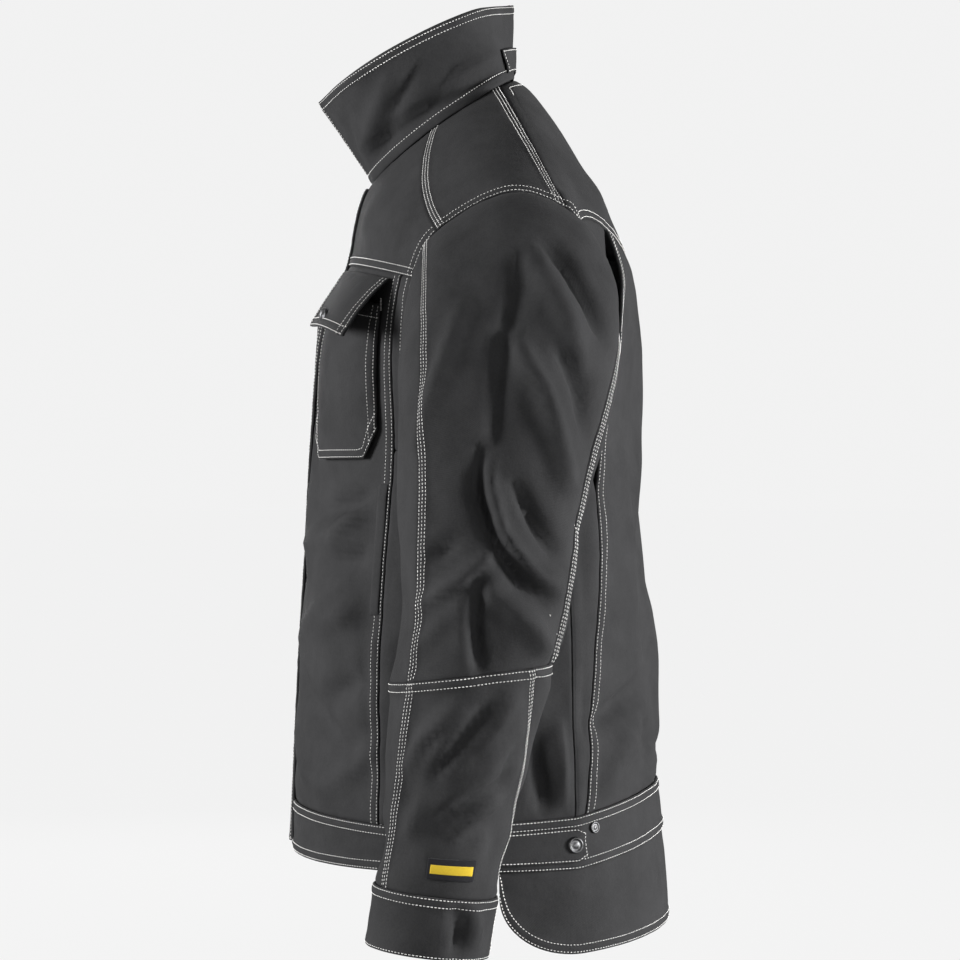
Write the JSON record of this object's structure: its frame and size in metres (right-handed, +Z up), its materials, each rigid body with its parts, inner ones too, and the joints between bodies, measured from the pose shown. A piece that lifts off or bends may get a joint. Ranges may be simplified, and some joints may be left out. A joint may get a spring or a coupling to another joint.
{
  "type": "work jacket",
  "caption": "Black canvas work jacket with stand collar, chest pockets with flaps, zip front under a placket, waist tabs, long back tail and swinging sleeves.",
  "frame": {"origin": "centre of the neck base, where the jacket hangs on its wearer's or mannequin's neck and shoulders", "axes": "+Z up, the front of the jacket faces -Y, the wearer's left is +X"},
  "size_m": [0.734, 0.3519, 0.8486],
  "materials": {
    "canvas": "matte",
    "zip_tape": "matte",
    "snap_metal": "satin",
    "zip_metal": "satin",
    "badge": "matte",
    "thread": "matte"
  },
  "bodies": {
    "jacket": {"action_pleat_left": "canvas", "action_pleat_right": "canvas", "armhole_front_strip_left": "canvas", "armhole_front_strip_right": "canvas", "back_centre_panel": "canvas", "back_tail": "canvas", "back_yoke": "canvas", "chest_pocket_left": "canvas", "chest_pocket_right": "canvas", "collar_inner": "canvas", "collar_outer": "canvas", "front_panel_left": "canvas", "front_panel_right": "canvas", "front_yoke_left": "canvas", "front_yoke_right": "canvas", "hand_pocket_welt_left": "canvas", "hand_pocket_welt_right": "canvas", "neck_tab": "canvas", "pocket_stud_left": "snap_metal", "pocket_stud_right": "snap_metal", "shoulder_panel_left": "canvas", "shoulder_panel_right": "canvas", "side_back_panel_left": "canvas", "side_back_panel_right": "canvas", "side_panel_left": "canvas", "side_panel_right": "canvas", "tab_stud_left": "snap_metal", "tab_stud_right": "snap_metal", "upper_placket": "canvas", "waistband_back": "canvas", "waistband_front_left": "canvas", "waistband_front_right": "canvas", "zip_chain_left": "zip_metal", "zip_chain_right": "zip_metal", "zip_stop": "zip_metal", "zip_tape_left": "zip_tape", "zip_tape_right": "zip_tape"},
    "sleeve_left": {"upper_sleeve_outer_left": "canvas", "upper_sleeve_under_left": "canvas", "lower_sleeve_outer_left": "canvas", "lower_sleeve_under_left": "canvas", "cuff_left": "canvas", "sleeve_badge": "badge"},
    "flap_left": {"pocket_flap_left": "canvas", "flap_snap_left": "snap_metal"},
    "tab_left": {"waist_tab_left": "canvas", "tab_snap_left": "snap_metal"},
    "sleeve_right": {"upper_sleeve_outer_right": "canvas", "upper_sleeve_under_right": "canvas", "lower_sleeve_outer_right": "canvas", "lower_sleeve_under_right": "canvas", "cuff_right": "canvas"},
    "flap_right": {"pocket_flap_right": "canvas", "flap_snap_right": "snap_metal"},
    "tab_right": {"waist_tab_right": "canvas", "tab_snap_right": "snap_metal"},
    "slider": {"zip_slider": "zip_metal", "zip_pull": "zip_metal"},
    "placket": {"storm_placket": "canvas"}
  },
  "joints": [
    {"name": "sleeve_left_swing", "type": "hinge", "parent": "jacket", "child": "sleeve_left", "pos_m": [0.236, 0.055, -0.078], "axis": [0, -1, 0], "range_deg": [0, 40]},
    {"name": "sleeve_right_swing", "type": "hinge", "parent": "jacket", "child": "sleeve_right", "pos_m": [-0.236, 0.055, -0.078], "axis": [0, 1, 0], "range_deg": [0, 40]},
    {"name": "flap_left_lift", "type": "hinge", "parent": "jacket", "child": "flap_left", "pos_m": [0.13719, -0.07394, -0.14172], "axis": [-0.9426, -0.3133, 0.1153], "range_deg": [0, 120]},
    {"name": "flap_right_lift", "type": "hinge", "parent": "jacket", "child": "flap_right", "pos_m": [-0.13719, -0.07394, -0.14172], "axis": [-0.9426, 0.3133, -0.1153], "range_deg": [0, 120]},
    {"name": "tab_left_peel", "type": "hinge", "parent": "jacket", "child": "tab_left", "pos_m": [0.22147, 0.02783, -0.64564], "axis": [0.0136, 0.0324, -0.9994], "range_deg": [0, 55]},
    {"name": "tab_right_peel", "type": "hinge", "parent": "jacket", "child": "tab_right", "pos_m": [-0.22147, 0.02783, -0.64564], "axis": [0.0136, -0.0324, 0.9994], "range_deg": [0, 55]},
    {"name": "placket_open", "type": "hinge", "parent": "jacket", "child": "placket", "pos_m": [0.023, -0.13359, -0.40953], "axis": [0, 0.0541, 0.9985], "range_deg": [0, 120]},
    {"name": "zip_slide", "type": "slide", "parent": "jacket", "child": "slider", "axis": [0, -0.0541, -0.9985], "range_m": [0, 0.466]}
  ]
}
